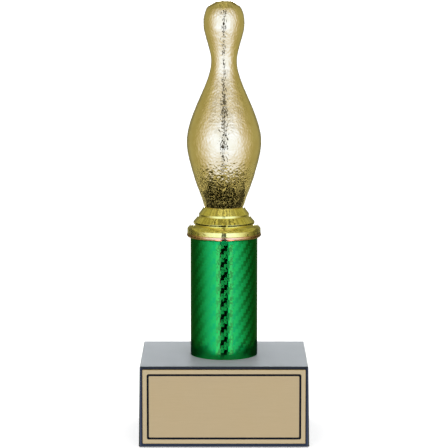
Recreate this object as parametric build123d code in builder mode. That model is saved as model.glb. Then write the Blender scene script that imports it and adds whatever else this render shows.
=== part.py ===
from build123d import *
import math
import os

os.makedirs("parts", exist_ok=True)

# Bowling trophy, millimetres. +Z is up, the name plate faces -Y, and the origin
# is the middle of the surface that the trophy stands on.

# Weighted base
base_top = 46.0             # height of the face that the column stands on
base_rim = 0.5              # the moulding's rim clears the table by this much
base_width = 95.6           # at the rim
base_depth = 74.8           # at the rim
base_draft = 0.88           # degrees on each side
base_corner_radius = 1.4
base_edge_radius = 0.8
base_wall = 2.6
base_web = 3.2              # thickness of the top
rib_thickness = 1.6
rib_depth = 6.0
rib_start = 10.0            # distance of each rib's inner end from the axis

# Threaded rod and its 1/4-20 hardware
rod_radius = 3.175
rod_chamfer = 0.6
rod_foot = 31.0             # height of the rod's lower end
rod_above_pin_foot = 11.5   # the rod reaches this far into the figure
rod_hole_radius = 3.4
nut_flats = 11.1            # across flats
nut_height = 5.6
nut_bevel = 30              # degrees, of the turned ends
thread_clearance = 0.02     # between a nut's plain bore and the rod
washer_radius = 9.0
washer_thickness = 1.5
washer_chamfer = 0.2
lock_washer_radius = 6.2
lock_washer_thickness = 1.6
lock_washer_slit = 0.9

# Ballast
ballast_length = 74.0
ballast_width = 54.0
ballast_thickness = 16.0
ballast_corner = 5.0
ballast_top = 30.0
ballast_access_radius = 13.0
ballast_screw_spacing = 52.0
ballast_boss_radius = 4.2
ballast_screw_radius = 2.0
ballast_screw_length = 25.0
ballast_screw_clearance = 0.3
ballast_head_radius = 4.0
ballast_head_height = 2.6
ballast_slot_length = 5.0   # cross slot for the driver
ballast_slot_width = 1.0
ballast_slot_depth = 1.4
pan_head_foot = 0.7         # part of a pan head's radius that is flat
pan_head_curve = 0.4        # part of its height over which it rounds off
pilot_clearance = 0.05      # plain pilot holes are this much larger in radius
pilot_extra_depth = 1.0

# Board, its screws and the felt
felt_thickness = 1.0
felt_radius = 6.5
felt_spacing_x = 52.0
felt_spacing_y = 42.0
board_thickness = 2.0
board_corner_radius = 1.0
board_clearance = 0.4
board_access_radius = 15.0
screw_inset = 4.4           # from the inside of the walls to each boss's axis
screw_boss_radius = 5.0
board_screw_radius = 1.45
board_screw_length = 12.0
board_head_radius = 2.8
board_head_edge = 0.1       # flat edge below the head's cone
board_slot_length = 3.4
board_slot_width = 0.7
board_slot_depth = 1.1
board_hole_clearance = 0.15
countersink_radius = 3.0
countersink_angle = 90

# Name plate, laid on the drafted front face
plate_width = 91.0
plate_height = 42.0
plate_thickness = 0.8
plate_centre = 23.4         # height of its middle
plate_corner_radius = 0.5
plate_edge_chamfer = 0.15
adhesive_thickness = 0.25
adhesive_inset = 0.6
border_width = 86.3         # outside of the line
border_height = 37.2
border_line = 1.2
border_corner_radius = 1.1
border_depth = 0.2
enamel_relief = 0.02        # the enamel lies this far below the plate's face

# Column
column_radius = 19.05       # over the foil, 1 1/2 in across
foil_thickness = 0.13
foil_clearance = 0.02
foil_gap = 0.5              # where its two edges meet at the back
foil_inset = 0.1            # bare tube left at each end
tube_wall = 1.6
column_length = 69.0
plug_height = 10.0
plug_clearance = 0.1
plug_wall = 1.6
plug_floor = 2.0
plug_hub_radius = 6.0
plug_rib_count = 6
plug_rib_thickness = 1.2
plug_rib_overlap = 1.0      # each end runs this far into the hub and the wall

# Column cap
cap_radius = 21.1
cap_thickness = 1.3         # of its flat top
cap_skirt = 0.85            # length of the skirt round the column's end
cap_skirt_clearance = 0.1
cap_rim_radius = 0.95       # rounding of the rolled rim, below and above
cap_top_radius = 0.5

# Collar under the figure
collar_height = 14.7
collar_wall = 1.6
lip_radius = 20.85          # bottom tier
lip_height = 2.45
lower_face_top = (17.75, 4.95)
lower_face_middle = (19.95, 3.55)
middle_lip = ((17.1, 5.15), (17.42, 6.4))
middle_face_top = (14.75, 9.45)
upper_lip = ((14.2, 9.75), (14.25, 10.95))
collar_top_radius = 11.4
collar_edge_radius = 0.2
collar_edges = (middle_lip[0][0], middle_lip[1][0], upper_lip[0][0], upper_lip[1][0], collar_top_radius)
collar_hollow_points = [    # three steps that follow the tiers
    (0, 0),
    (lip_radius - collar_wall, 0),
    (lip_radius - collar_wall, 2.05),
    (middle_lip[0][0] - collar_wall, 3.75),
    (middle_lip[0][0] - collar_wall, 5.8),
    (upper_lip[0][0] - collar_wall, 8.65),
    (upper_lip[0][0] - collar_wall, 10.55),
    (collar_top_radius - collar_wall, collar_height - collar_wall),
    (0, collar_height - collar_wall),
    (0, 0),
]

# Figure: a hollow bowling pin in two halves
pin_wall = 1.7
pin_tongue = 0.8            # how far the front half's tongue enters the rear half
tongue_clearance = 0.05
pin_plug_foot = 0.3
pin_plug_height = 8.3
pin_plug_clearance = 0.15
pin_plug_flare = 2.55       # gained in radius from its foot to its top
hex_pocket_clearance = 0.1

# Radius and height of the pin's outline, from its foot to the crown
pin_foot_radius = 11.0
pin_belly = (21.07, 37.8)
pin_head = (11.55, 104.6)
pin_height = 117.05
pin_foot_tangent = (0.35, 1)
pin_body_points = [
    (pin_foot_radius, 0.0),
    (12.93, 5.9),
    (15.5, 12.8),
    (18.3, 21.9),
    pin_belly,
    (18.1, 51.4),
    (13.4, 62.8),
    (9.65, 71.8),
    (7.28, 83.4),
    (9.05, 92.1),
    (10.9, 98.8),
    pin_head,
]
pin_crown_points = [
    pin_head,
    (10.75, 110.0),
    (9.3, 113.2),
    (6.5, 115.5),
    (0.0, pin_height),
]

# Heights that follow from these
web_underside = base_top - base_web
column_top = base_top + column_length
cap_top = column_top + cap_thickness
pin_foot = cap_top + collar_height
board_foot = felt_thickness
board_top = board_foot + board_thickness
inside_width = base_width - 2 * base_wall
inside_depth = base_depth - 2 * base_wall
screw_spacing_x = inside_width - 2 * screw_inset
screw_spacing_y = inside_depth - 2 * screw_inset
tube_radius = column_radius - foil_thickness - foil_clearance
tube_bore = tube_radius - tube_wall
seat_depth = 2.0            # ring under the web that the washer bears on
seat_radius = 10.5
washer_top = web_underside - seat_depth
draft_slope = math.tan(math.radians(base_draft))


def save(piece, name):
    piece.part.label = name
    export_step(piece.part, f"parts/{name}.step")


# --- Weighted base ---

with BuildPart() as base_shell:
    with BuildSketch(Plane.XY.offset(base_rim)):
        RectangleRounded(base_width, base_depth, base_corner_radius)
    extrude(amount=base_top - base_rim, taper=base_draft)
    fillet(base_shell.faces().sort_by(Axis.Z)[-1].edges(), radius=base_edge_radius)
    with BuildSketch(Plane.XY.offset(base_rim)):
        Rectangle(inside_width, inside_depth)
    extrude(amount=web_underside - base_rim, taper=base_draft, mode=Mode.SUBTRACT)
    # Corner bosses for the board's screws
    with BuildSketch(Plane.XY.offset(board_top)):
        with GridLocations(screw_spacing_x, screw_spacing_y, 2, 2):
            Circle(screw_boss_radius)
        Rectangle(inside_width + base_wall / 2, inside_depth + base_wall / 2, mode=Mode.INTERSECT)
    extrude(amount=web_underside + base_web / 2 - board_top)
    # Seat for the washer, and bosses for the ballast screws
    with BuildSketch(Plane.XY.offset(washer_top)):
        Circle(seat_radius)
    extrude(amount=seat_depth + base_web / 2)
    with BuildSketch(Plane.XY.offset(ballast_top)):
        with GridLocations(ballast_screw_spacing, 1, 2, 1):
            Circle(ballast_boss_radius)
    extrude(amount=web_underside + base_web / 2 - ballast_top)
    # Stiffening ribs under the web
    with BuildSketch(Plane.XY.offset(web_underside - rib_depth)):
        for side in (-1, 1):
            with Locations((side * (inside_width / 2 + rib_start) / 2, 0)):
                Rectangle(inside_width / 2 - rib_start, rib_thickness)
            with Locations((0, side * (inside_depth / 2 + rib_start) / 2)):
                Rectangle(rib_thickness, inside_depth / 2 - rib_start)
    extrude(amount=rib_depth + base_web / 2)
    with BuildSketch(Plane.XY.offset(base_top)):
        Circle(rod_hole_radius)
    extrude(amount=-(base_top - rod_foot), mode=Mode.SUBTRACT)
    # Pilot holes
    with BuildSketch(Plane.XY.offset(board_top)):
        with GridLocations(screw_spacing_x, screw_spacing_y, 2, 2):
            Circle(board_screw_radius + pilot_clearance)
    extrude(amount=board_screw_length, mode=Mode.SUBTRACT)
    with BuildSketch(Plane.XY.offset(ballast_top)):
        with GridLocations(ballast_screw_spacing, 1, 2, 1):
            Circle(ballast_screw_radius + pilot_clearance)
    extrude(amount=ballast_screw_length - ballast_thickness + pilot_extra_depth, mode=Mode.SUBTRACT)
save(base_shell, "base_shell")

with BuildPart() as ballast_block:
    with BuildSketch(Plane.XY.offset(ballast_top - ballast_thickness)) as ballast_outline:
        Rectangle(ballast_length, ballast_width)
        chamfer(ballast_outline.vertices(), length=ballast_corner)
        Circle(ballast_access_radius, mode=Mode.SUBTRACT)
        with GridLocations(ballast_screw_spacing, 1, 2, 1):
            Circle(ballast_screw_radius + ballast_screw_clearance, mode=Mode.SUBTRACT)
    extrude(amount=ballast_thickness)
save(ballast_block, "ballast_block")

with BuildPart() as one_ballast_screw:
    # Pan head below, point up, standing on its own foot
    head_top = ballast_head_height
    with BuildSketch(Plane.XZ):
        with BuildLine():
            Polyline(
                (0, 0),
                (ballast_head_radius * pan_head_foot, 0),
                (ballast_head_radius, head_top * pan_head_curve),
                (ballast_head_radius, head_top),
                (ballast_screw_radius, head_top),
                (ballast_screw_radius, head_top + ballast_screw_length - 2 * ballast_screw_radius),
                (0, head_top + ballast_screw_length),
                (0, 0),
            )
        make_face()
    revolve(axis=Axis.Z)
    with BuildSketch(Plane.XY):
        Rectangle(ballast_slot_length, ballast_slot_width)
        Rectangle(ballast_slot_width, ballast_slot_length)
    extrude(amount=ballast_slot_depth, mode=Mode.SUBTRACT)

with BuildPart() as ballast_screws:
    with Locations((0, 0, ballast_top - ballast_thickness - ballast_head_height)):
        with GridLocations(ballast_screw_spacing, 1, 2, 1):
            add(one_ballast_screw.part)
save(ballast_screws, "ballast_screws")

# --- Board, its screws and the felt ---

with BuildPart() as bottom_board:
    with BuildSketch(Plane.XY.offset(board_foot)):
        board_width = inside_width - 2 * board_clearance
        board_depth = inside_depth - 2 * board_clearance
        RectangleRounded(board_width, board_depth, board_corner_radius)
        Circle(board_access_radius, mode=Mode.SUBTRACT)
    extrude(amount=board_thickness)
    underside = Plane(origin=(0, 0, board_foot), x_dir=(1, 0, 0), z_dir=(0, 0, -1))
    with Locations(underside):
        with GridLocations(screw_spacing_x, screw_spacing_y, 2, 2):
            hole_radius = board_screw_radius + board_hole_clearance
            CounterSinkHole(hole_radius, countersink_radius, board_thickness, countersink_angle)
save(bottom_board, "bottom_board")

with BuildPart() as one_board_screw:
    with BuildSketch(Plane.XZ):
        with BuildLine():
            Polyline(
                (0, 0),
                (board_head_radius, 0),
                (board_head_radius, board_head_edge),
                (board_screw_radius, board_head_edge + board_head_radius - board_screw_radius),
                (board_screw_radius, board_screw_length - 2 * board_screw_radius),
                (0, board_screw_length),
                (0, 0),
            )
        make_face()
    revolve(axis=Axis.Z)
    with BuildSketch(Plane.XY):
        Rectangle(board_slot_length, board_slot_width)
        Rectangle(board_slot_width, board_slot_length)
    extrude(amount=board_slot_depth, mode=Mode.SUBTRACT)

with BuildPart() as board_screws:
    with Locations((0, 0, board_foot)):
        with GridLocations(screw_spacing_x, screw_spacing_y, 2, 2):
            add(one_board_screw.part)
save(board_screws, "board_screws")

with BuildPart() as felt_pads:
    with BuildSketch(Plane.XY):
        with GridLocations(felt_spacing_x, felt_spacing_y, 2, 2):
            Circle(felt_radius)
    extrude(amount=felt_thickness)
save(felt_pads, "felt_pads")

# --- Name plate ---

face_y = -(base_depth / 2 - (plate_centre - base_rim) * draft_slope)
face_plane = Plane(
    origin=(0, face_y, plate_centre),
    x_dir=(1, 0, 0),
    z_dir=(0, -1, draft_slope),
)

with BuildPart() as plate_adhesive:
    with BuildSketch(face_plane):
        Rectangle(plate_width - 2 * adhesive_inset, plate_height - 2 * adhesive_inset)
    extrude(amount=adhesive_thickness)
save(plate_adhesive, "plate_adhesive")


def draw_border():
    # The line that runs round the plate, in the sketch that calls this
    RectangleRounded(border_width, border_height, border_corner_radius)
    inner_radius = border_corner_radius - border_line / 2
    inner_width = border_width - 2 * border_line
    inner_height = border_height - 2 * border_line
    RectangleRounded(inner_width, inner_height, inner_radius, mode=Mode.SUBTRACT)


plate_front = face_plane.offset(adhesive_thickness + plate_thickness)
with BuildPart() as name_plate:
    with BuildSketch(face_plane.offset(adhesive_thickness)):
        RectangleRounded(plate_width, plate_height, plate_corner_radius)
    extrude(amount=plate_thickness)
    front_face = name_plate.faces().sort_by(Axis.Y)[0]
    chamfer(front_face.edges(), length=plate_edge_chamfer)
    with BuildSketch(plate_front):
        draw_border()
    extrude(amount=-border_depth, mode=Mode.SUBTRACT)
save(name_plate, "name_plate")

with BuildPart() as plate_border:
    with BuildSketch(plate_front.offset(-border_depth)):
        draw_border()
    extrude(amount=border_depth - enamel_relief)
save(plate_border, "plate_border")

# --- Column ---

with BuildPart() as column_tube:
    with BuildSketch(Plane.XY.offset(base_top)):
        Circle(tube_radius)
        Circle(tube_bore, mode=Mode.SUBTRACT)
    extrude(amount=column_length)
save(column_tube, "column_tube")

with BuildPart() as column_foil:
    with BuildSketch(Plane.XY.offset(base_top + foil_inset)):
        Circle(column_radius)
        Circle(column_radius - foil_thickness, mode=Mode.SUBTRACT)
        with Locations((0, column_radius)):
            Rectangle(foil_gap, 4 * foil_thickness, mode=Mode.SUBTRACT)
    extrude(amount=column_length - 2 * foil_inset)
save(column_foil, "column_foil")


def plug(foot_plane):
    # Cup with a hub and ribs, its floor on foot_plane
    radius = tube_bore - plug_clearance
    with BuildPart() as piece:
        with BuildSketch(foot_plane):
            Circle(radius)
        extrude(amount=plug_height)
        with BuildSketch(foot_plane.offset(plug_floor)):
            Circle(radius - plug_wall)
            Circle(plug_hub_radius, mode=Mode.SUBTRACT)
            with PolarLocations((radius + plug_hub_radius) / 2, plug_rib_count):
                rib_length = radius - plug_hub_radius + 2 * plug_rib_overlap
                Rectangle(rib_length, plug_rib_thickness, mode=Mode.SUBTRACT)
        extrude(amount=plug_height - plug_floor, mode=Mode.SUBTRACT)
        with BuildSketch(foot_plane):
            Circle(rod_hole_radius)
        extrude(amount=plug_height, mode=Mode.SUBTRACT)
    return piece


foot_plug = plug(Plane.XY.offset(base_top))
save(foot_plug, "foot_plug")

top_plug = plug(Plane(origin=(0, 0, column_top), x_dir=(1, 0, 0), z_dir=(0, 0, -1)))
save(top_plug, "top_plug")

with BuildPart() as column_cap:
    skirt_bore = column_radius + cap_skirt_clearance
    with BuildSketch(Plane.XZ):
        with BuildLine():
            Polyline(
                (rod_hole_radius, column_top),
                (skirt_bore, column_top),
                (skirt_bore, column_top - cap_skirt),
                (cap_radius, column_top - cap_skirt),
                (cap_radius, cap_top),
                (rod_hole_radius, cap_top),
                (rod_hole_radius, column_top),
            )
        make_face()
    revolve(axis=Axis.Z)
    rim_edges = column_cap.edges().filter_by(GeomType.CIRCLE).group_by(SortBy.RADIUS)[-1]
    fillet(rim_edges.sort_by(Axis.Z)[0], radius=cap_rim_radius)
    rim_edges = column_cap.edges().filter_by(GeomType.CIRCLE).group_by(SortBy.RADIUS)[-1]
    fillet(rim_edges.sort_by(Axis.Z)[-1], radius=cap_top_radius)
save(column_cap, "column_cap")

# --- Collar ---

with BuildPart() as figure_collar:
    with BuildSketch(Plane.XZ):
        with BuildLine():
            Line((0, cap_top), (lip_radius, cap_top))
            Line((lip_radius, cap_top), (lip_radius, cap_top + lip_height))
            ThreePointArc(
                (lip_radius, cap_top + lip_height),
                (lower_face_middle[0], cap_top + lower_face_middle[1]),
                (lower_face_top[0], cap_top + lower_face_top[1]),
            )
            Polyline(
                (lower_face_top[0], cap_top + lower_face_top[1]),
                (middle_lip[0][0], cap_top + middle_lip[0][1]),
                (middle_lip[1][0], cap_top + middle_lip[1][1]),
                (middle_face_top[0], cap_top + middle_face_top[1]),
                (upper_lip[0][0], cap_top + upper_lip[0][1]),
                (upper_lip[1][0], cap_top + upper_lip[1][1]),
                (collar_top_radius, pin_foot),
                (0, pin_foot),
                (0, cap_top),
            )
        make_face()
    revolve(axis=Axis.Z)
    rings = figure_collar.edges().filter_by(GeomType.CIRCLE)
    fillet(rings.filter_by(lambda ring: ring.radius in collar_edges), radius=collar_edge_radius)
    # Hollow, open at the foot
    with BuildSketch(Plane.XZ):
        with BuildLine():
            Polyline(*[(radius, cap_top + height) for radius, height in collar_hollow_points])
        make_face()
    revolve(axis=Axis.Z, mode=Mode.SUBTRACT)
    with BuildSketch(Plane.XY.offset(pin_foot)):
        Circle(rod_hole_radius)
    extrude(amount=-2 * collar_wall, mode=Mode.SUBTRACT)
save(figure_collar, "figure_collar")

# --- Figure ---


def pin_face(inset):
    # Half section of the pin, drawn in by inset, as a face in the XZ plane
    body = [(radius - inset, pin_foot + height) for radius, height in pin_body_points]
    crown = []
    for radius, height in pin_crown_points[:-1]:
        lowered = inset * (height - pin_head[1]) / (pin_height - pin_head[1])
        crown.append((radius - inset, pin_foot + height - lowered))
    top = pin_foot + pin_height - inset
    crown.append((0, top))
    with BuildSketch(Plane.XZ) as section:
        with BuildLine():
            Line((0, pin_foot), body[0])
            Spline(*body, tangents=(pin_foot_tangent, (0, 1)))
            Spline(*crown, tangents=((0, 1), (-1, 0)))
            Line((0, top), (0, pin_foot))
        make_face()
    return section.sketch


def pin_solid(inset):
    with BuildPart() as solid:
        add(pin_face(inset))
        revolve(axis=Axis.Z)
    return solid.part


pin_outer = pin_solid(0)
pin_middle = pin_solid(pin_wall / 2)
pin_inner = pin_solid(pin_wall)

with BuildPart() as tongue:
    add(pin_middle)
    add(pin_inner, mode=Mode.SUBTRACT)
    split(bisect_by=Plane.XZ.offset(-pin_tongue), keep=Keep.TOP)
    split(bisect_by=Plane.XZ.offset(pin_tongue), keep=Keep.BOTTOM)

with BuildPart() as groove:
    add(pin_middle)
    split(bisect_by=Plane.XZ.offset(-pin_tongue - tongue_clearance), keep=Keep.TOP)

with BuildPart() as pin_front_shell:
    add(pin_outer)
    add(pin_inner, mode=Mode.SUBTRACT)
    split(bisect_by=Plane.XZ, keep=Keep.TOP)
    add(tongue.part)
save(pin_front_shell, "pin_front_shell")

with BuildPart() as pin_rear_shell:
    add(pin_outer)
    add(pin_inner, mode=Mode.SUBTRACT)
    split(bisect_by=Plane.XZ, keep=Keep.BOTTOM)
    add(groove.part, mode=Mode.SUBTRACT)
save(pin_rear_shell, "pin_rear_shell")

# --- Plug that closes the pin's foot, and the hardware on the rod ---

with BuildPart() as pin_plug:
    with BuildSketch(Plane.XZ):
        with BuildLine():
            foot_radius = pin_foot_radius - pin_wall - pin_plug_clearance
            Polyline(
                (0, pin_foot + pin_plug_foot),
                (foot_radius, pin_foot + pin_plug_foot),
                (foot_radius + pin_plug_flare, pin_foot + pin_plug_height),
                (0, pin_foot + pin_plug_height),
                (0, pin_foot + pin_plug_foot),
            )
        make_face()
    revolve(axis=Axis.Z)
    with BuildSketch(Plane.XY.offset(pin_foot + pin_plug_height)):
        RegularPolygon(nut_flats / 2 + hex_pocket_clearance, 6, major_radius=False)
    extrude(amount=-nut_height, mode=Mode.SUBTRACT)
    with BuildSketch(Plane.XY.offset(pin_foot)):
        Circle(rod_hole_radius)
    extrude(amount=pin_plug_height, mode=Mode.SUBTRACT)
save(pin_plug, "pin_plug")


def hex_nut(name, foot):
    with BuildPart() as nut:
        with BuildSketch(Plane.XY.offset(foot)):
            RegularPolygon(nut_flats / 2, 6, major_radius=False)
            Circle(rod_radius + thread_clearance, mode=Mode.SUBTRACT)
        extrude(amount=nut_height)
        # Both ends are turned to a shallow cone, as on a bought nut
        with BuildSketch(Plane.XZ):
            with BuildLine():
                corner = nut_flats / math.sqrt(3)
                flat = nut_flats / 2
                bevel = (corner - flat) * math.tan(math.radians(nut_bevel))
                Polyline(
                    (0, foot),
                    (flat, foot),
                    (corner, foot + bevel),
                    (corner, foot + nut_height - bevel),
                    (flat, foot + nut_height),
                    (0, foot + nut_height),
                    (0, foot),
                )
            make_face()
        revolve(axis=Axis.Z, mode=Mode.INTERSECT)
    save(nut, name)


def flat_washer(name, foot):
    with BuildPart() as washer:
        with BuildSketch(Plane.XY.offset(foot)):
            Circle(washer_radius)
            Circle(rod_hole_radius, mode=Mode.SUBTRACT)
        extrude(amount=washer_thickness)
        chamfer(washer.edges().filter_by(GeomType.CIRCLE).group_by(SortBy.RADIUS)[-1], length=washer_chamfer)
    save(washer, name)


lock_washer_top = washer_top - washer_thickness
base_nut_foot = lock_washer_top - lock_washer_thickness - nut_height
flat_washer("base_washer", lock_washer_top)
hex_nut("base_nut", base_nut_foot)
flat_washer("cap_washer", cap_top)
hex_nut("cap_nut", cap_top + washer_thickness)
hex_nut("pin_nut", pin_foot + pin_plug_height - nut_height)

with BuildPart() as base_lock_washer:
    with BuildSketch(Plane.XY.offset(lock_washer_top - lock_washer_thickness)):
        Circle(lock_washer_radius)
        Circle(rod_hole_radius, mode=Mode.SUBTRACT)
        with Locations((lock_washer_radius, 0)):
            Rectangle(2 * lock_washer_radius, lock_washer_slit, mode=Mode.SUBTRACT)
    extrude(amount=lock_washer_thickness)
save(base_lock_washer, "base_lock_washer")

with BuildPart() as tie_rod:
    with BuildSketch(Plane.XY.offset(rod_foot)):
        Circle(rod_radius)
    extrude(amount=pin_foot + rod_above_pin_foot - rod_foot)
    chamfer(tie_rod.edges().filter_by(GeomType.CIRCLE), length=rod_chamfer)
save(tie_rod, "tie_rod")
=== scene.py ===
import math

import bmesh
import bpy
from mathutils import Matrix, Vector, noise
from mathutils.bvhtree import BVHTree


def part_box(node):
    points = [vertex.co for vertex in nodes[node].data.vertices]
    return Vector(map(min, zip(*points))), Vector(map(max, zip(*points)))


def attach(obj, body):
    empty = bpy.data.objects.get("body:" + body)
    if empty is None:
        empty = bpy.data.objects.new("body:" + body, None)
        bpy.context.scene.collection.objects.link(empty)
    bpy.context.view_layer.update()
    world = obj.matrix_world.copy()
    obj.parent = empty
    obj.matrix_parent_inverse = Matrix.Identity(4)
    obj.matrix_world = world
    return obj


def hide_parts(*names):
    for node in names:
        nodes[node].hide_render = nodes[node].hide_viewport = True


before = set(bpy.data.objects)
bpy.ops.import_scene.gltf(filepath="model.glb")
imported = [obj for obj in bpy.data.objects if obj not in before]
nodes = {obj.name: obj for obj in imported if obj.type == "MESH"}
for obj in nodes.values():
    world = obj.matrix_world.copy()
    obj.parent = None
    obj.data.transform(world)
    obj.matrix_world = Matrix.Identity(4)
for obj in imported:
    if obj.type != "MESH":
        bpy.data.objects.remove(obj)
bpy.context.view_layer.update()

# Bowling trophy. Everything is in metres, +Z up, and the name plate faces -Y.
mm = 0.001
print("frame loaded,", len(nodes), "nodes")


cameraSetup = {
    "distance": 1257 * mm,   # along the floor, from the column's axis
    "height": 301.7 * mm,
    "tilt": 8.177,           # degrees below level
    "lens": 179.4,
    "sensor": 36,
    "clip": (0.05, 50),
}


def placeCamera():
    data = bpy.data.cameras.new("studioCamera")
    data.lens = cameraSetup["lens"]
    data.sensor_width = cameraSetup["sensor"]
    data.clip_start, data.clip_end = cameraSetup["clip"]
    camera = bpy.data.objects.new("studioCamera", data)
    camera.location = (0, -cameraSetup["distance"], cameraSetup["height"])
    camera.rotation_euler = (math.radians(90 - cameraSetup["tilt"]), 0, 0)
    bpy.context.scene.collection.objects.link(camera)
    bpy.context.scene.camera = camera


placeCamera()
print("camera placed")


# Helpers for shader nodes. A value is a plain one, or another node's socket
def setSocket(tree, socket, value):
    if isinstance(value, bpy.types.NodeSocket):
        tree.links.new(value, socket)
    else:
        socket.default_value = value


def addNode(tree, kind, inputs=None, **settings):
    # inputs go by name or number
    made = tree.nodes.new(kind)
    for name, value in settings.items():
        setattr(made, name, value)
    for key, value in (inputs or {}).items():
        setSocket(tree, made.inputs[key], value)
    return made


def doMath(tree, operation, first, second=0.0, third=0.0):
    return addNode(tree, "ShaderNodeMath", {0: first, 1: second, 2: third}, operation=operation).outputs[0]


def multiply(tree, first, *others):
    for other in others:
        first = doMath(tree, "MULTIPLY", first, other)
    return first


def remap(tree, value, fromLow, fromHigh, toLow, toHigh, kind="LINEAR"):
    inputs = {"Value": value, 1: fromLow, 2: fromHigh, 3: toLow, 4: toHigh}
    return addNode(tree, "ShaderNodeMapRange", inputs, interpolation_type=kind).outputs[0]


def ease(tree, value, start, end, low=0, high=1):
    # Stays at low up to start, and turns smoothly to high by the end
    return remap(tree, value, start, end, low, high, "SMOOTHSTEP")


def mixColour(tree, factor, first, second):
    return addNode(tree, "ShaderNodeMix", {0: factor, 6: first, 7: second}, data_type="RGBA").outputs[2]


def mixShader(tree, factor, first, second):
    return addNode(tree, "ShaderNodeMixShader", {0: factor, 1: first, 2: second}).outputs[0]


def splitVector(tree, vector):
    return addNode(tree, "ShaderNodeSeparateXYZ", {0: vector}).outputs


def vectorMath(tree, operation, inputs, output="Vector"):
    return addNode(tree, "ShaderNodeVectorMath", inputs, operation=operation).outputs[output]


def speckle(tree, where, size, detail=2.0, rough=0.5):
    inputs = {"Vector": where, "Scale": 1 / size, "Detail": detail, "Roughness": rough}
    return addNode(tree, "ShaderNodeTexNoise", inputs).outputs["Fac"]


cloudReach = 0.15    # how far a soft noise strays from one half
grainReach = 0.20    # and a fine one


def stretch(tree, grain, reach, low=0, high=1):
    # Noise keeps near one half, and this makes it run from low to high
    return remap(tree, grain, 0.5 - reach, 0.5 + reach, low, high)


def place(tree):
    # Position on the object, in millimetres
    where = addNode(tree, "ShaderNodeTexCoord").outputs["Object"]
    return vectorMath(tree, "SCALE", {0: where, 3: 1000.0})


toDegrees = 180 / math.pi


def turnToRight(tree, x, y):
    # Radians round from the front
    return doMath(tree, "ARCTAN2", x, doMath(tree, "MULTIPLY", y, -1))


def turnAside(tree, x, y):
    # The same to the left and to the right
    return turnToRight(tree, doMath(tree, "ABSOLUTE", x), y)


def startFinish(name):
    material = bpy.data.materials.new(name)
    material.use_nodes = True
    tree = material.node_tree
    tree.nodes.clear()
    shader = addNode(tree, "ShaderNodeBsdfPrincipled")
    addNode(tree, "ShaderNodeOutputMaterial", {0: shader.outputs[0]})
    return material, tree, shader


def setShader(tree, shader, **values):
    for name, value in values.items():
        setSocket(tree, shader.inputs[name.replace("_", " ")], value)


def raised(tree, height, depth, under=None):
    # The bumps' normal, on top of another one's or on the bare surface
    inputs = {"Height": height, "Distance": depth}
    if under is not None:
        inputs["Normal"] = under
    return addNode(tree, "ShaderNodeBump", inputs).outputs[0]


def grey(level):
    return (level, level, level, 1)


def noiseAt(point):
    # From 0 to 1
    return noise.noise(point) * 0.5 + 0.5


def meshPiece(name, shape, material):
    mesh = bpy.data.meshes.new(name)
    shape.to_mesh(mesh)
    shape.free()
    mesh.materials.append(material)
    piece = bpy.data.objects.new(name, mesh)
    bpy.context.scene.collection.objects.link(piece)
    return piece


def joinRings(shape, first, second):
    count = len(first)
    for i in range(count):
        j = (i + 1) % count
        shape.faces.new((first[i], first[j], second[j], second[i]))


# What the trophy mirrors. Angles are in degrees, from the front and from level
studio = {
    "ambient": 1.32,                   # what the matt surfaces gather
    "background": 1.02,                # past the floor's edge
    "room": (0.41, 0.40, 0.22, 1),     # what the metal mirrors from all round
    "soft": (0.74, 0.60, 0.60, 1),     # the big soft light in front, out to its edges
    "core": (0.02, 0.46, 2.00, 1),     # its cooler middle
    "panel": (7.6, 7.9, 8.9, 1),       # low behind, mirrored by the top of the base
    "dark": (0.035, 0.03, 0.010, 1),   # what is left in the darkest places
    "softAside": (25, 112),            # where the soft light fades out to the sides
    "softRise": (5, 92),               # and above and below
    "gap": 7.5,                        # half the dark gap in front of the camera
    "gapEdge": 0.6,
    "gapTop": (46, 56),                # it closes here
    "gapWhole": (5, 20),               # it breaks up this far above and below level
    "gapShows": (20, 28, 1, 0.2),      # and is nearly whole again above these
    "waverSize": 9.0,                  # the gap wavers as it rises, over this many degrees
    "waverReach": 7.0,                 # and by this much to each side
    "patchSize": 0.13,                 # of the breaks, by direction
    "patchPart": (0.43, 0.51),
    "sparkle": (14, 30, 0, 0.40),      # faintly mottled light from here upwards
    "ceiling": (56, 64),               # and strongly from here
    "mottle": (0.20, 1.45),            # its darkest and its brightest
    "mottleSize": 0.09,
    "mottlePart": (0.4, 0.6),
    "overheadCentre": (0.04, 0.36, 0.35, 0),   # brighter straight overhead, by x of the direction
    "panelAside": (168, 172),
    "panelRise": (4, 8),
    "panelTop": (18, 24, 1, 0),
    "backDim": (130, 158, 1, 0.50),    # the room darkens behind, which draws every outline
    "dimTop": (30, 50),                # but not above these
}


def pastTheGap(tree, direction, rise):
    # 0 in the dark gap, 1 past it
    x, y, z = splitVector(tree, direction)
    turn = multiply(tree, turnToRight(tree, x, y), toDegrees)
    upward = addNode(tree, "ShaderNodeCombineXYZ", {2: doMath(tree, "DIVIDE", rise, studio["waverSize"])})
    reach = studio["waverReach"]
    waver = doMath(tree, "MULTIPLY_ADD", speckle(tree, upward.outputs[0], 1.0, 1), 2 * reach, -reach)
    fromGap = doMath(tree, "ABSOLUTE", doMath(tree, "ADD", turn, waver))
    past = ease(tree, fromGap, studio["gap"] - studio["gapEdge"], studio["gap"] + studio["gapEdge"])
    patches = speckle(tree, direction, studio["patchSize"], 1)
    broken = multiply(tree, ease(tree, patches, *studio["patchPart"]),
                      ease(tree, doMath(tree, "ABSOLUTE", rise), *studio["gapWhole"]),
                      ease(tree, rise, *studio["gapShows"]))
    past = doMath(tree, "MAXIMUM", past, broken)
    return doMath(tree, "MAXIMUM", past, ease(tree, rise, *studio["gapTop"]))


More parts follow.
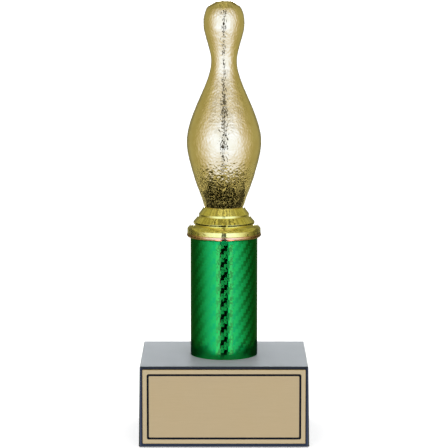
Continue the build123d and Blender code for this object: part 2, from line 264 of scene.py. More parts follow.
def mottledAbove(tree, direction, rise):
    # 1 near level, mottled higher up
    x, y, z = splitVector(tree, direction)
    patches = speckle(tree, direction, studio["mottleSize"], 2)
    mottle = ease(tree, patches, *studio["mottlePart"], *studio["mottle"])
    ceiling = ease(tree, rise, *studio["ceiling"])
    amount = doMath(tree, "MAXIMUM", ease(tree, rise, *studio["sparkle"]), ceiling)
    mottle = doMath(tree, "MULTIPLY_ADD", amount, doMath(tree, "SUBTRACT", mottle, 1), 1)
    centre = ease(tree, doMath(tree, "ABSOLUTE", x), *studio["overheadCentre"])
    return doMath(tree, "ADD", mottle, multiply(tree, centre, ceiling))


def buildWorld():
    world = bpy.data.worlds.new("softStudio")
    bpy.context.scene.world = world
    world.use_nodes = True
    world.cycles.sampling_method = "NONE"    # smooth light, so plain bounces find it
    tree = world.node_tree
    tree.nodes.clear()
    direction = addNode(tree, "ShaderNodeTexCoord").outputs["Generated"]
    x, y, z = splitVector(tree, direction)
    rise = multiply(tree, doMath(tree, "ARCSINE", z), toDegrees)
    aside = multiply(tree, turnAside(tree, x, y), toDegrees)

    lit = multiply(tree, pastTheGap(tree, direction, rise), mottledAbove(tree, direction, rise))
    glow = multiply(tree, ease(tree, aside, *studio["softAside"], 1, 0),
                    ease(tree, doMath(tree, "ABSOLUTE", rise), *studio["softRise"], 1, 0))
    room = doMath(tree, "MAXIMUM", ease(tree, aside, *studio["backDim"]), ease(tree, rise, *studio["dimTop"]))
    panel = multiply(tree, ease(tree, aside, *studio["panelAside"]), ease(tree, rise, *studio["panelRise"]),
                     ease(tree, rise, *studio["panelTop"]))
    amounts = {"room": multiply(tree, lit, room), "soft": multiply(tree, glow, lit),
               "core": multiply(tree, glow, glow, lit), "panel": panel}

    def light(colour, strength):
        return addNode(tree, "ShaderNodeBackground", {0: colour, 1: strength}).outputs[0]

    mirrored = light(studio["dark"], 1.0)
    for name, amount in amounts.items():
        lights = {0: mirrored, 1: light(studio[name], amount)}
        mirrored = addNode(tree, "ShaderNodeAddShader", lights).outputs[0]
    gathered = light(grey(1), studio["ambient"])
    plain = light(grey(1), studio["background"])
    path = addNode(tree, "ShaderNodeLightPath").outputs
    mixed = mixShader(tree, path["Is Glossy Ray"], gathered, mirrored)
    mixed = mixShader(tree, path["Is Camera Ray"], mixed, plain)
    addNode(tree, "ShaderNodeOutputWorld", {0: mixed})


def stagePiece(name, shape, material):
    # Part of the studio, not of the trophy
    piece = meshPiece(name, shape, material)
    return piece


roundSegments = 96    # round the floor and the hanging shades
floorPaper = {
    "radius": 7.0,
    "shade": 0.80,
    "roughness": 0.9,
    "glow": 0.30,            # keeps the shadow round the base soft and light
}


def buildFloor():
    material, tree, shader = startFinish("palePaper")
    setShader(tree, shader, Base_Color=grey(floorPaper["shade"]), Roughness=floorPaper["roughness"],
              Specular_IOR_Level=0.0, Emission_Color=grey(1), Emission_Strength=floorPaper["glow"])
    shape = bmesh.new()
    bmesh.ops.create_circle(shape, cap_ends=True, segments=roundSegments, radius=floorPaper["radius"])
    floor = stagePiece("paleFloor", shape, material)
    floor.visible_glossy = False    # the metal mirrors the room's light instead


def cardMaterial(name, colour, shadeIt=None):
    # Seen from one side only. colour is plain, or made from the card's own tree.
    # shadeIt says how much of the card is there, from its own position
    material = bpy.data.materials.new(name)
    material.use_nodes = True
    material.cycles.emission_sampling = "NONE"
    tree = material.node_tree
    tree.nodes.clear()
    light = addNode(tree, "ShaderNodeEmission", {0: colour(tree) if callable(colour) else colour}).outputs[0]
    clear = addNode(tree, "ShaderNodeBsdfTransparent").outputs[0]
    cover = doMath(tree, "SUBTRACT", 1, addNode(tree, "ShaderNodeNewGeometry").outputs["Backfacing"])
    if shadeIt:
        where = addNode(tree, "ShaderNodeTexCoord").outputs["Object"]
        x, y, z = splitVector(tree, where)
        cover = multiply(tree, cover, shadeIt(tree, x, y))
    addNode(tree, "ShaderNodeOutputMaterial", {0: mixShader(tree, cover, clear, light)})
    return material


def hang(name, shape, material):
    # Seen only as reflections
    piece = stagePiece(name, shape, material)
    for kind in ("camera", "diffuse", "transmission", "volume_scatter", "shadow"):
        setattr(piece, "visible_" + kind, False)


columnCards = {
    "front": 30 * mm,          # how far before the column's axis they stand
    "foot": 46.6 * mm,
    "flagTop": 111.9 * mm,
    "stripTop": 110.0 * mm,
    "flag": (-4.2, 6.6),       # a dark card, from left to right, mm
    "flagShade": grey(0.01),
    "strips": ((-10.2, -4.2), (6.6, 12.0)),
    "stripLight": (5.0, 1.9, 2.6, 1),
}


def hangCard(name, left, right, top, material):
    front, foot = columnCards["front"], columnCards["foot"]
    shape = bmesh.new()
    corners = ((left, foot), (left, top), (right, top), (right, foot))
    shape.faces.new([shape.verts.new((x * mm, -front, z)) for x, z in corners])
    hang(name, shape, material)


def hangCards():
    # A narrow dark card between two light ones, mirrored down the front of the column
    black = cardMaterial("cardBlack", columnCards["flagShade"])
    hangCard("darkCard", *columnCards["flag"], columnCards["flagTop"], black)
    bright = cardMaterial("cardBright", columnCards["stripLight"])
    for name, strip in zip(("leftStrip", "rightStrip"), columnCards["strips"]):
        hangCard(name, *strip, columnCards["stripTop"], bright)


def ringOf(shape, halfWidth, halfDepth, z, setBack=0.0):
    turns = [2 * math.pi * i / roundSegments for i in range(roundSegments)]
    return [shape.verts.new((halfWidth * math.sin(turn), setBack - halfDepth * math.cos(turn), z))
            for turn in turns]


shadeSleeve = {
    "radius": 31.5 * mm,       # shades the foil and the collar from both sides
    "foot": 50 * mm,
    "top": 129 * mm,
    "comesIn": (33, 85),       # degrees round from the front
    "leaves": (100, 120),
    "shade": 0.70,
    "colour": (0.03, 0.03, 0.02, 1),
}


def sleeveCover(tree, x, y):
    aside = turnAside(tree, x, y)
    comesIn = (math.radians(angle) for angle in shadeSleeve["comesIn"])
    leaves = (math.radians(angle) for angle in shadeSleeve["leaves"])
    near = ease(tree, aside, *comesIn, 0, shadeSleeve["shade"])
    return multiply(tree, near, ease(tree, aside, *leaves, 1, 0))


def hangSleeve():
    shape = bmesh.new()
    radius = shadeSleeve["radius"]
    foot = ringOf(shape, radius, radius, shadeSleeve["foot"])
    top = ringOf(shape, radius, radius, shadeSleeve["top"])
    joinRings(shape, top, foot)
    hang("shadeSleeve", shape, cardMaterial("sleeveCloth", shadeSleeve["colour"], sleeveCover))


shadeMat = {
    "height": 46.3 * mm,       # lies just over the base, for the foot of the foil
    "half": (47 * mm, 37 * mm),
    "comesIn": (34, 74),       # degrees round from the front
    "shade": 0.85,
    "colour": grey(0.01),
}


def matCover(tree, x, y):
    comesIn = (math.radians(angle) for angle in shadeMat["comesIn"])
    return ease(tree, turnAside(tree, x, y), *comesIn, 0, shadeMat["shade"])


def hangMat():
    shape = bmesh.new()
    halfWidth, halfDepth = shadeMat["half"]
    corners = ((-halfWidth, -halfDepth), (halfWidth, -halfDepth),
               (halfWidth, halfDepth), (-halfWidth, halfDepth))
    shape.faces.new([shape.verts.new((x, y, shadeMat["height"])) for x, y in corners])
    hang("shadeMat", shape, cardMaterial("matCloth", shadeMat["colour"], matCover))


shadeSkirt = {
    "inner": 25.2 * mm,        # darkens the foot of the pin from all round
    "height": 112.3 * mm,
    "slope": 0.155,            # falls outwards
    "outer": (125 * mm, 120 * mm),    # half its width and depth
    "setBack": 29 * mm,
    "bands": 8,
    "fade": (0.72, 1.0),       # part of the way out, squared, where it thins to nothing
    "dark": (0.008, 0.008, 0.002, 1),
    "bright": (1.05, 1.02, 0.60, 1),
    "brightPart": (0.63, 0.53),       # noise above this is bright, near and far
    "nearAndFar": (25, 80),           # mm from the axis
    "speckleSize": 6.5,               # mm
    "speckleEdge": 0.02,
}


def skirtCover(tree, x, y):
    halfWidth, halfDepth = shadeSkirt["outer"]
    back = doMath(tree, "DIVIDE", doMath(tree, "SUBTRACT", y, shadeSkirt["setBack"]), halfDepth)
    across = doMath(tree, "DIVIDE", x, halfWidth)
    out = doMath(tree, "ADD", doMath(tree, "POWER", across, 2), doMath(tree, "POWER", back, 2))
    return ease(tree, out, *shadeSkirt["fade"], 1, 0)


def skirtColour(tree):
    where = place(tree)
    x, y, z = splitVector(tree, where)
    out = doMath(tree, "SQRT", doMath(tree, "ADD", doMath(tree, "POWER", x, 2), doMath(tree, "POWER", y, 2)))
    limit = remap(tree, out, *shadeSkirt["nearAndFar"], *shadeSkirt["brightPart"])
    spots = doMath(tree, "SUBTRACT", speckle(tree, where, shadeSkirt["speckleSize"], 3), limit)
    edge = shadeSkirt["speckleEdge"]
    return mixColour(tree, remap(tree, spots, -edge, edge, 0, 1), shadeSkirt["dark"], shadeSkirt["bright"])


def hangSkirt():
    shape = bmesh.new()
    inner, bands = shadeSkirt["inner"], shadeSkirt["bands"]
    rings = []
    for k in range(bands + 1):
        halfWidth, halfDepth = (inner + (half - inner) * k / bands for half in shadeSkirt["outer"])
        setBack = shadeSkirt["setBack"] * k / bands
        fall = (halfDepth - setBack - inner) * shadeSkirt["slope"]
        rings.append(ringOf(shape, halfWidth, halfDepth, shadeSkirt["height"] - fall, setBack))
    for first, second in zip(rings, rings[1:]):
        joinRings(shape, second, first)
    hang("shadeSkirt", shape, cardMaterial("skirtCloth", skirtColour, skirtCover))


buildWorld()
buildFloor()
hangCards()
hangSleeve()
hangMat()
hangSkirt()
bpy.context.scene.view_settings.view_transform = "Standard"
print("studio built")


pinGold = {
    "light": (0.85, 0.70, 0.35, 1),
    "deep": (0.78, 0.62, 0.28, 1),
    "roughness": (0.06, 0.11),
    "cloudSize": 7.0,        # mm, as every size in a finish
    "grainSize": 0.9,
    "grainDepth": 0.05 * mm,
    "fineSize": 0.4,
    "fineDepth": 0.004 * mm,
    "coat": 0.15,
    "coatRoughness": 0.12,
}


def pebbledGold():
    material, tree, shader = startFinish("pebbledGold")
    where = place(tree)
    cloud = speckle(tree, where, pinGold["cloudSize"], 3)
    grain = speckle(tree, where, pinGold["grainSize"], 1)
    fine = speckle(tree, where, pinGold["fineSize"], 1)
    colour = mixColour(tree, stretch(tree, cloud, cloudReach), pinGold["deep"], pinGold["light"])
    grained = raised(tree, grain, pinGold["grainDepth"])
    setShader(tree, shader, Base_Color=colour, Metallic=1.0,
              Roughness=stretch(tree, fine, grainReach, *pinGold["roughness"]),
              Coat_Weight=pinGold["coat"], Coat_Roughness=pinGold["coatRoughness"],
              Normal=raised(tree, fine, pinGold["fineDepth"], grained))
    return material


collarGold = {
    "light": (0.86, 0.76, 0.19, 1),
    "deep": (0.78, 0.67, 0.13, 1),
    "roughness": (0.04, 0.08),
    "cloudSize": 5.0,
    "fineSize": 0.5,
    "waviness": 0.16 * mm,
    "coat": 0.6,
    "coatRoughness": 0.04,
}
capRose = {
    "light": (0.92, 0.56, 0.27, 1),
    "deep": (0.86, 0.48, 0.19, 1),
    "roughness": (0.08, 0.15),
    "cloudSize": 4.0,
    "fineSize": 0.4,
    "waviness": 0.015 * mm,
    "coat": 0.2,
    "coatRoughness": 0.05,
}


def wavyMetal(name, look):
    # Spun metal, polished, never quite even
    material, tree, shader = startFinish(name)
    where = place(tree)
    cloud = speckle(tree, where, look["cloudSize"], 3)
    fine = speckle(tree, where, look["fineSize"], 2)
    colour = mixColour(tree, stretch(tree, cloud, cloudReach), look["deep"], look["light"])
    setShader(tree, shader, Base_Color=colour, Metallic=1.0,
              Roughness=stretch(tree, fine, grainReach, *look["roughness"]),
              Coat_Weight=look["coat"], Coat_Roughness=look["coatRoughness"],
              Normal=raised(tree, cloud, look["waviness"]))
    return material


foilWrap = {
    "columnWidth": 1.62,     # mm, one tow of the printed weave
    "rowHeight": 1.86,
    "weaveRows": 4,          # the weave repeats after so many columns and rows
    "barRows": 2.3,          # of which a lengthwise tow covers so many rows
    "radius": 19.05,
    "lengthwise": (0.004, 0.36, 0.052, 1),
    "across": (0.002, 0.32, 0.050, 1),
    "edge": (0.15, 0.45, 0.35, 1),    # tint at a glancing angle
    "groove": 0.36,          # mm between the fine grooves that make the tows glint
    "fan": 16.0,             # degrees to which a lengthwise tow's grooves turn the light
    "flat": (0.57, 0.63),    # noise above this leaves the grooves nearly flat
    "flatSize": 0.9,
    "flatLeft": 0.1,         # what part of the fan is left there
    "tilt": 3.0,             # degrees, as the fan, for a tow across
    "lean": 5.0,             # degrees that the tows across lean to the right
    "leanLeft": 0.15,        # on the left side, what part of that
    "leanTurn": 0.7,         # radians to each side of the front over which it changes
    "wander": 0.03,          # the whole sheet wanders a little from its round
    "wanderSize": 6.0,
    "roughness": (0.10, 0.16),
    "fibreSize": 0.5,
    "facing": 0.5,           # a face that looks this far outwards is the outside
    "coat": 0.18,
    "coatRoughness": 0.03,
}


def tangent(degrees):
    return math.tan(math.radians(degrees))


def foilNormal(tree, where, angle, lengthwise):
    # Fine grooves fan the light sideways along a lengthwise tow, and upwards on one across
    x, y, z = splitVector(tree, where)
    grooves = round(2 * math.pi * foilWrap["radius"] / foilWrap["groove"])
    sideWave = doMath(tree, "SINE", multiply(tree, angle, grooves))
    upWave = doMath(tree, "SINE", multiply(tree, z, 2 * math.pi / foilWrap["groove"]))
    wander = doMath(tree, "MULTIPLY_ADD", speckle(tree, where, foilWrap["wanderSize"], 2),
                    2 * foilWrap["wander"], -foilWrap["wander"])
    crossed = doMath(tree, "SUBTRACT", 1, lengthwise)
    leanTurn = foilWrap["leanTurn"]
    leaning = multiply(tree, ease(tree, angle, -leanTurn, leanTurn, foilWrap["leanLeft"], 1),
                       tangent(foilWrap["lean"]))
    fan = tangent(foilWrap["fan"])
    fan = ease(tree, speckle(tree, where, foilWrap["flatSize"], 1), *foilWrap["flat"],
               fan, fan * foilWrap["flatLeft"])
    sideways = doMath(tree, "MULTIPLY_ADD", multiply(tree, sideWave, fan), lengthwise,
                      doMath(tree, "MULTIPLY_ADD", crossed, leaning, wander))
    upwards = multiply(tree, upWave, tangent(foilWrap["tilt"]), crossed)

    flat = addNode(tree, "ShaderNodeCombineXYZ", {0: x, 1: y}).outputs[0]
    outward = vectorMath(tree, "NORMALIZE", {0: flat})
    ox, oy, oz = splitVector(tree, outward)
    nx = doMath(tree, "SUBTRACT", ox, doMath(tree, "MULTIPLY", oy, sideways))
    ny = doMath(tree, "MULTIPLY_ADD", ox, sideways, oy)
    turned = addNode(tree, "ShaderNodeCombineXYZ", {0: nx, 1: ny, 2: upwards}).outputs[0]
    turned = vectorMath(tree, "NORMALIZE", {0: turned})

    # Only the outside face is grooved, not the sheet's edges or its back
    faces = addNode(tree, "ShaderNodeNewGeometry").outputs["Normal"]
    outside = vectorMath(tree, "DOT_PRODUCT", {0: faces, 1: outward}, "Value")
    onFace = doMath(tree, "GREATER_THAN", outside, foilWrap["facing"])
    return addNode(tree, "ShaderNodeMix", {0: onFace, 4: faces, 5: turned}, data_type="VECTOR").outputs[1]


def greenWeave():
    # A two-over two-under weave of finely grooved tows, pressed into green metallised film
    material, tree, shader = startFinish("greenWeave")
    where = place(tree)
    x, y, z = splitVector(tree, where)
    angle = turnToRight(tree, x, y)
    rows = foilWrap["weaveRows"]
    columns = round(2 * math.pi * foilWrap["radius"] / foilWrap["columnWidth"] / rows) * rows
    across = multiply(tree, angle, columns / (2 * math.pi))
    up = doMath(tree, "DIVIDE", z, foilWrap["rowHeight"])
    step = doMath(tree, "SUBTRACT", up, doMath(tree, "FLOOR", across))
    step = doMath(tree, "FLOORED_MODULO", step, rows)
    lengthwise = doMath(tree, "LESS_THAN", step, foilWrap["barRows"])
    fibre = speckle(tree, where, foilWrap["fibreSize"], 2)
    colour = mixColour(tree, lengthwise, foilWrap["across"], foilWrap["lengthwise"])
    setShader(tree, shader, Base_Color=colour, Metallic=1.0, Specular_Tint=foilWrap["edge"],
              Roughness=stretch(tree, fibre, grainReach, *foilWrap["roughness"]),
              Coat_Weight=foilWrap["coat"], Coat_Roughness=foilWrap["coatRoughness"],
              Normal=foilNormal(tree, where, angle, lengthwise))
    return material


baseBlack = {
    "colour": (0.006, 0.009, 0.011, 1),
    "worn": (0.010, 0.014, 0.018, 1),
    "wornPart": (0.4, 0.7),
    "cloudSize": 22.0,
    "roughness": (0.06, 0.10),
    "fineSize": 0.7,
    "fineDepth": 0.001 * mm,
    # painted sheen: up-facing faces get this lighter grey, standing in for the room's pale glancing
    # reflection
    "top": (0.045, 0.050, 0.056, 1),
    "topRoughness": 0.62,
    "topFacing": (0.6, 0.95),    # how far up a face looks before it counts as the top
    "bloom": 1.0,                # pale sheen at a glancing angle
    "bloomRoughness": 0.30,
    "bloomTint": (0.90, 0.96, 1.0, 1),
    "refraction": 1.52,          # of the plastic
}


def blackMoulding():
    material, tree, shader = startFinish("blackMoulding")
    where = place(tree)
    cloud = speckle(tree, where, baseBlack["cloudSize"], 4)
    fine = speckle(tree, where, baseBlack["fineSize"], 3)
    facing = splitVector(tree, addNode(tree, "ShaderNodeNewGeometry").outputs["Normal"])[2]
    onTop = ease(tree, facing, *baseBlack["topFacing"])
    worn = remap(tree, cloud, *baseBlack["wornPart"], 0, 1)
    colour = mixColour(tree, worn, baseBlack["colour"], baseBlack["worn"])
    # Painted sheen: the top face is coloured a lighter grey in place of the room's glancing reflection
    colour = mixColour(tree, onTop, colour, baseBlack["top"])
    low, high = baseBlack["roughness"]
    sides = stretch(tree, cloud, cloudReach, low, high)
    setShader(tree, shader, Base_Color=colour, IOR=baseBlack["refraction"],
              Roughness=doMath(tree, "MULTIPLY_ADD", onTop, baseBlack["topRoughness"] - high, sides),
              Sheen_Weight=baseBlack["bloom"], Sheen_Roughness=baseBlack["bloomRoughness"],
              Sheen_Tint=baseBlack["bloomTint"], Normal=raised(tree, fine, baseBlack["fineDepth"]))
    return material


plateGold = {
    "light": (0.62, 0.42, 0.150, 1),
    "deep": (0.59, 0.395, 0.138, 1),
    "margin": (0.65, 0.45, 0.165, 1),   # outside the black line
    "insideLine": (42.6, 18.0),         # half the width and height inside it, mm
    "middle": 23.4,
    "grainRun": (0.02, 1, 1),           # the grain is drawn out along x
    "grainSize": 0.22,
    "grainRoughness": 0.6,
    "grainDepth": 0.003 * mm,
    "cloudSize": 18.0,
    "roughness": (0.42, 0.48),
}


def satinPlate():
    # Fine grain runs left to right, as rolled and anodised
    material, tree, shader = startFinish("satinPlate")
    where = place(tree)
    stretched = vectorMath(tree, "MULTIPLY", {0: where, 1: plateGold["grainRun"]})
    grain = speckle(tree, stretched, plateGold["grainSize"], 3, plateGold["grainRoughness"])
    cloud = speckle(tree, where, plateGold["cloudSize"], 3)
    colour = mixColour(tree, stretch(tree, grain, grainReach), plateGold["deep"], plateGold["light"])
    x, y, z = splitVector(tree, where)
    halfWidth, halfHeight = plateGold["insideLine"]
    besideLine = doMath(tree, "GREATER_THAN", doMath(tree, "ABSOLUTE", x), halfWidth)
    height = doMath(tree, "ABSOLUTE", doMath(tree, "SUBTRACT", z, plateGold["middle"]))
    margin = doMath(tree, "MAXIMUM", besideLine, doMath(tree, "GREATER_THAN", height, halfHeight))
    setShader(tree, shader, Base_Color=mixColour(tree, margin, colour, plateGold["margin"]), Metallic=1.0,
              Roughness=stretch(tree, cloud, grainReach, *plateGold["roughness"]),
              Normal=raised(tree, grain, plateGold["grainDepth"]))
    return material


plainMix = {
    "grainRoughness": 0.6,
    "blotches": 9,           # times the size of the grain
    "reach": 0.12,           # of grain and blotches together, from one half
    "roughnessReach": 0.06,
}
plainLooks = {
    "blackEnamel": {"dark": grey(0.002), "light": grey(0.004), "roughness": 0.5,
                    "grainSize": 0.3, "depth": 0.001 * mm, "specular": 0.08},
    "whiteTube": {"dark": (0.62, 0.62, 0.60, 1), "light": (0.74, 0.74, 0.72, 1), "roughness": 0.5,
                  "grainSize": 0.6, "depth": 0.004 * mm},
    "plugPlastic": {"dark": grey(0.02), "light": grey(0.05), "roughness": 0.5,
                    "grainSize": 0.5, "depth": 0.006 * mm},
    "zincSteel": {"dark": (0.42, 0.43, 0.45, 1), "light": (0.66, 0.67, 0.68, 1), "roughness": 0.3,
                  "grainSize": 0.25, "depth": 0.004 * mm, "metallic": 1.0},
    "castIron": {"dark": (0.03, 0.03, 0.032, 1), "light": (0.11, 0.11, 0.115, 1), "roughness": 0.62,
                 "grainSize": 0.8, "depth": 0.09 * mm, "metallic": 0.4},
    "pressedBoard": {"dark": (0.07, 0.040, 0.020, 1), "light": (0.20, 0.12, 0.065, 1), "roughness": 0.7,
                     "grainSize": 0.45, "depth": 0.03 * mm},
    "woolFelt": {"dark": (0.012, 0.035, 0.020, 1), "light": (0.035, 0.085, 0.050, 1), "roughness": 0.95,
                 "grainSize": 0.25, "depth": 0.10 * mm},
    "stickySheet": {"dark": (0.55, 0.55, 0.50, 1), "light": (0.72, 0.72, 0.66, 1), "roughness": 0.6,
                    "grainSize": 0.5, "depth": 0.01 * mm},
}


def plainFinish(name, dark, light, roughness, grainSize, depth, metallic=0.0, specular=0.5):
    # Two tones mixed by a fine grain that also roughens the surface
    material, tree, shader = startFinish(name)
    where = place(tree)
    grain = speckle(tree, where, grainSize, 3, plainMix["grainRoughness"])
    blotch = speckle(tree, where, grainSize * plainMix["blotches"], 2)
    both = doMath(tree, "MULTIPLY_ADD", blotch, 0.5, doMath(tree, "MULTIPLY", grain, 0.5))
    spread = plainMix["roughnessReach"]
    setShader(tree, shader, Base_Color=mixColour(tree, stretch(tree, both, plainMix["reach"]), dark, light),
              Roughness=stretch(tree, both, plainMix["reach"], roughness + spread, roughness - spread),
              Metallic=metallic, Specular_IOR_Level=specular, Normal=raised(tree, grain, depth))
    return material


finishes = {
    "pebbledGold": pebbledGold(),
    "polishedGold": wavyMetal("polishedGold", collarGold),
    "roseMetal": wavyMetal("roseMetal", capRose),
    "greenWeave": greenWeave(),
    "blackMoulding": blackMoulding(),
    "satinPlate": satinPlate(),
}
for plainName, plainLook in plainLooks.items():
    finishes[plainName] = plainFinish(plainName, **plainLook)
print("finishes made")


# The frame's own pieces that stay, and the finish of each
keptPieces = {
    "base_shell": "blackMoulding",
    "name_plate": "satinPlate",
    "plate_border": "blackEnamel",
    "plate_adhesive": "stickySheet",
    "column_tube": "whiteTube",
    "column_foil": "greenWeave",
    "column_cap": "roseMetal",
    "figure_collar": "polishedGold",
    "foot_plug": "plugPlastic",
    "top_plug": "plugPlastic",
    "pin_plug": "plugPlastic",
    "pin_nut": "zincSteel",
    "base_washer": "zincSteel",
    "base_lock_washer": "zincSteel",
    "base_nut": "zincSteel",
    "cap_washer": "zincSteel",
    "cap_nut": "zincSteel",
    "ballast_block": "castIron",
    "ballast_screws": "zincSteel",
    "board_screws": "zincSteel",
    "bottom_board": "pressedBoard",
}


def coatKeptPieces():
    for name, finish in keptPieces.items():
        for slot in nodes[name].material_slots:
            slot.material = finishes[finish]


coatKeptPieces()
print("kept pieces coated")


pinShape = {
    "spacing": 0.40 * mm,      # between mesh points up the outside
    "segments": 200,           # round each half
    "coarse": 4,               # the inside needs only every fourth point
    "wall": 1.5 * mm,
    "pebbles": ((1.0 * mm, 0.19 * mm), (3.4 * mm, 0.16 * mm)),    # size and depth
    "lift": 0.17 * mm,         # brings the pebbled surface back to the right size
    "liftFade": 8 * mm,        # below the crown, which stays within its height
    "smooth": 1 * mm,          # round the very top and up from the foot, where pebbles settle
    "seamDepth": 0.10 * mm,    # the parting line up both sides
    "seamWidth": 0.35 * mm,
    "headCentre": 104.6 * mm,  # above the pin's foot
    "footStart": 0.02 * mm,    # where the outline begins, just above the foot
    "sideSteps": 500,
    "crownSteps": 120,
    "reach": 100 * mm,         # well outside the pin
    "thinnest": 0.02 * mm,     # no ring is narrower, outside
    "thinnestInside": 0.01 * mm,
    "domeFall": 0.02,          # keeps the rings under the crown apart
    "sharpFrom": 50,           # degrees
}


def readPinOutline():
    # Points up the outside, as (radius, height), felt out on the frame's own solid
    low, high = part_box("pin_front_shell")
    shape = bmesh.new()
    shape.from_mesh(nodes["pin_front_shell"].data)
    solid = BVHTree.FromBMesh(shape)
    shape.free()
    foot = low.z + pinShape["footStart"]
    centre = low.z + pinShape["headCentre"]
    reach, sideSteps, crownSteps = pinShape["reach"], pinShape["sideSteps"], pinShape["crownSteps"]
    outline = []
    for i in range(sideSteps):
        z = foot + (centre - foot) * i / sideSteps
        hit = solid.ray_cast(Vector((0, -reach, z)), Vector((0, 1, 0)))[0]
        outline.append((-hit.y, z))
    for i in range(crownSteps):
        angle = math.radians(90 * i / crownSteps)
        outward = Vector((0, -math.cos(angle), math.sin(angle)))
        hit = solid.ray_cast(Vector((0, 0, centre)) + outward * reach, -outward)[0]
        outline.append((-hit.y, hit.z))
    outline.append((0.0, high.z))
    return outline


def evenOut(outline, spacing, multiple):
    # The same line with its points an even distance apart
    lengths = [0.0]
    for first, second in zip(outline, outline[1:]):
        lengths.append(lengths[-1] + math.hypot(second[0] - first[0], second[1] - first[1]))
    count = round(lengths[-1] / spacing / multiple) * multiple
    even = []
    k = 0
    for i in range(count + 1):
        want = lengths[-1] * i / count
        while k < len(lengths) - 2 and lengths[k + 1] < want:
            k += 1
        part = (want - lengths[k]) / (lengths[k + 1] - lengths[k])
        even.append(tuple(a + (b - a) * part for a, b in zip(outline[k], outline[k + 1])))
    return even


def pebbleDepthAt(point):
    return sum(depth * noiseAt(point / size) for size, depth in pinShape["pebbles"])


def outerRings(shape, outline, side):
    segments, smooth = pinShape["segments"], pinShape["smooth"]
    foot, crown = outline[0][1], outline[-1][1]
    rings = []
    for k, (radius, z) in enumerate(outline[:-1]):
        lowRadius, lowZ = outline[max(k - 1, 0)]
        highRadius, highZ = outline[k + 1]
        run = math.hypot(highRadius - lowRadius, highZ - lowZ)
        outwards, upwards = (highZ - lowZ) / run, (lowRadius - highRadius) / run
        ring = []
        for i in range(segments + 1):
            angle = math.pi * i / segments
            across, along = math.cos(angle), math.sin(angle) * side
            depth = pebbleDepthAt(Vector((radius * across, radius * along, z)))
            nearSeam = max(0.0, 1 - radius * math.sin(angle) / pinShape["seamWidth"])
            depth += pinShape["seamDepth"] * nearSeam ** 2
            depth -= pinShape["lift"] * min(1.0, (crown - z) / pinShape["liftFade"])
            depth *= min(1.0, radius / smooth)
            kept = max(radius - depth * outwards, pinShape["thinnest"])
            height = z - depth * upwards if z > foot + smooth else z
            ring.append(shape.verts.new((kept * across, kept * along, height)))
        rings.append(ring)
    return rings


def innerRings(shape, outline, side):
    segments, coarse, wall = pinShape["segments"], pinShape["coarse"], pinShape["wall"]
    crown = outline[-1][1]
    rings = []
    for radius, z in outline[:-coarse:coarse]:
        within = max(radius - wall, pinShape["thinnestInside"])
        height = min(z, crown - wall - pinShape["domeFall"] * (crown - z))
        ring = []
        for i in range(0, segments + 1, coarse):
            angle = math.pi * i / segments
            ring.append(shape.verts.new((within * math.cos(angle), within * math.sin(angle) * side, height)))
        rings.append(ring)
    return rings


def buildPinHalf(name, side):
    # side is -1 for the front half and 1 for the rear half
    coarse = pinShape["coarse"]
    outline = evenOut(readPinOutline(), pinShape["spacing"], coarse)
    crown = outline[-1][1]
    shape = bmesh.new()
    outer = outerRings(shape, outline, side)
    inner = innerRings(shape, outline, side)
    outerTop = shape.verts.new((0, 0, crown))
    innerTop = shape.verts.new((0, 0, crown - pinShape["wall"]))
    for rings, top in ((outer, outerTop), (inner, innerTop)):
        for lowRing, highRing in zip(rings, rings[1:]):
            for i in range(len(lowRing) - 1):
                shape.faces.new((lowRing[i], lowRing[i + 1], highRing[i + 1], highRing[i]))
        for first, second in zip(rings[-1], rings[-1][1:]):
            shape.faces.new((first, second, top))
    # The foot and the two long edges close the wall
    for k in range(len(inner[0]) - 1):
        shape.faces.new(outer[0][k * coarse:(k + 1) * coarse + 1] + [inner[0][k + 1], inner[0][k]])
    for end in (0, -1):
        column = [ring[end] for ring in outer]
        for k in range(len(inner) - 1):
            shape.faces.new(column[k * coarse:(k + 1) * coarse + 1] + [inner[k + 1][end], inner[k][end]])
        shape.faces.new(column[(len(inner) - 1) * coarse:] + [outerTop, innerTop, inner[-1][end]])
    bmesh.ops.recalc_face_normals(shape, faces=shape.faces)
    half = meshPiece(name, shape, finishes["pebbledGold"])
    half.data.shade_smooth()
    half.data.set_sharp_from_angle(angle=math.radians(pinShape["sharpFrom"]))
    return half


frontHalf = buildPinHalf("pinFrontHalf", -1)
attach(frontHalf, "root")
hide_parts("pin_front_shell")
rearHalf = buildPinHalf("pinRearHalf", 1)
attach(rearHalf, "root")
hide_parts("pin_rear_shell")
print("pin built")


rodThread = {
    "pitch": 1.27 * mm,
    "depth": 0.62 * mm,
    "segments": 32,
    "rowsPerTurn": 8,
    "chamfer": 0.6 * mm,
}


def buildRod():
    low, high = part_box("tie_rod")
    outside, length = high.x, high.z - low.z
    segments = rodThread["segments"]
    rows = round(length / rodThread["pitch"] * rodThread["rowsPerTurn"])
    shape = bmesh.new()
    rings = []
    for k in range(rows + 1):
        z = low.z + length * k / rows
        lead = max(0.0, rodThread["chamfer"] - min(z - low.z, high.z - z))
        ring = []
        for i in range(segments):
            turn = i / segments
            phase = (z / rodThread["pitch"] - turn) % 1.0
            groove = 1 - abs(2 * phase - 1)
            radius = min(outside - rodThread["depth"] * groove, outside - lead)
            angle = 2 * math.pi * turn
            ring.append(shape.verts.new((radius * math.cos(angle), radius * math.sin(angle), z)))
        rings.append(ring)
    for lowRing, highRing in zip(rings, rings[1:]):
        joinRings(shape, lowRing, highRing)
    shape.faces.new(rings[0][::-1])
    shape.faces.new(rings[-1])
    return meshPiece("threadedRod", shape, finishes["zincSteel"])


rod = buildRod()
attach(rod, "root")
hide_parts("tie_rod")
print("rod built")


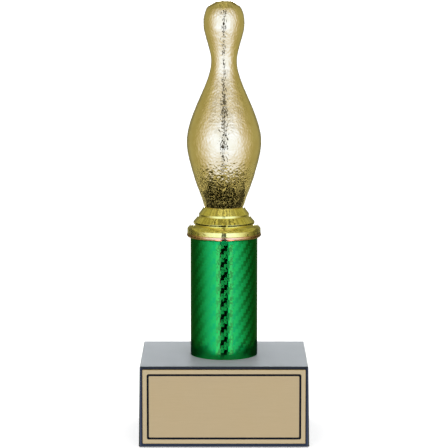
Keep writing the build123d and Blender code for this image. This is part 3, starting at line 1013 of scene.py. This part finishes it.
feltShape = {
    "radius": 6.5 * mm,
    "rings": 14,             # across the flat underside
    "flatPart": 0.96,        # of the radius
    "edgeRound": 0.3 * mm,
    "roundSteps": 5,
    "sideSteps": 3,
    "segments": 72,
    "fuzz": 0.05 * mm,
    "fuzzSize": 0.6 * mm,
    "fuzzFrom": 0.9,         # of the radius, outwards
}


def padProfile(foot, top):
    # From the middle of the underside out and up to the top, as (radius, height)
    radius, edge = feltShape["radius"], feltShape["edgeRound"]
    rings, roundSteps, sideSteps = feltShape["rings"], feltShape["roundSteps"], feltShape["sideSteps"]
    flat = radius * feltShape["flatPart"]
    profile = [(flat * k / rings, foot) for k in range(rings + 1)]
    for k in range(1, roundSteps):
        angle = math.radians(90 * k / roundSteps)
        profile.append((flat + (radius - flat) * math.sin(angle), foot + edge * (1 - math.cos(angle))))
    for k in range(1, sideSteps + 1):
        profile.append((radius, foot + edge + (top - foot - edge) * k / sideSteps))
    return profile


def addPad(shape, middle, foot, top):
    rings = []
    for radius, z in padProfile(foot, top)[1:]:
        ring = []
        for i in range(feltShape["segments"]):
            angle = 2 * math.pi * i / feltShape["segments"]
            at = middle + Vector((radius * math.cos(angle), radius * math.sin(angle), z))
            fuzz = noiseAt(at / feltShape["fuzzSize"]) * feltShape["fuzz"]
            if radius > feltShape["radius"] * feltShape["fuzzFrom"]:
                at.x -= fuzz * math.cos(angle)
                at.y -= fuzz * math.sin(angle)
            if z == foot:
                at.z += fuzz
            ring.append(shape.verts.new(at))
        rings.append(ring)
    centre = shape.verts.new(middle + Vector((0, 0, foot)))
    for first, second in zip(rings[0], rings[0][1:] + rings[0][:1]):
        shape.faces.new((centre, second, first))
    for inside, outside in zip(rings, rings[1:]):
        joinRings(shape, inside, outside)
    shape.faces.new(rings[-1])


def buildFelt():
    low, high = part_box("felt_pads")
    cornerX, cornerY = high.x - feltShape["radius"], high.y - feltShape["radius"]
    shape = bmesh.new()
    for signX in (-1, 1):
        for signY in (-1, 1):
            addPad(shape, Vector((signX * cornerX, signY * cornerY, 0)), low.z, high.z)
    bmesh.ops.recalc_face_normals(shape, faces=shape.faces)
    pads = meshPiece("feltPads", shape, finishes["woolFelt"])
    pads.data.shade_smooth()
    return pads


felt = buildFelt()
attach(felt, "root")
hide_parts("felt_pads")
print("felt pads built")
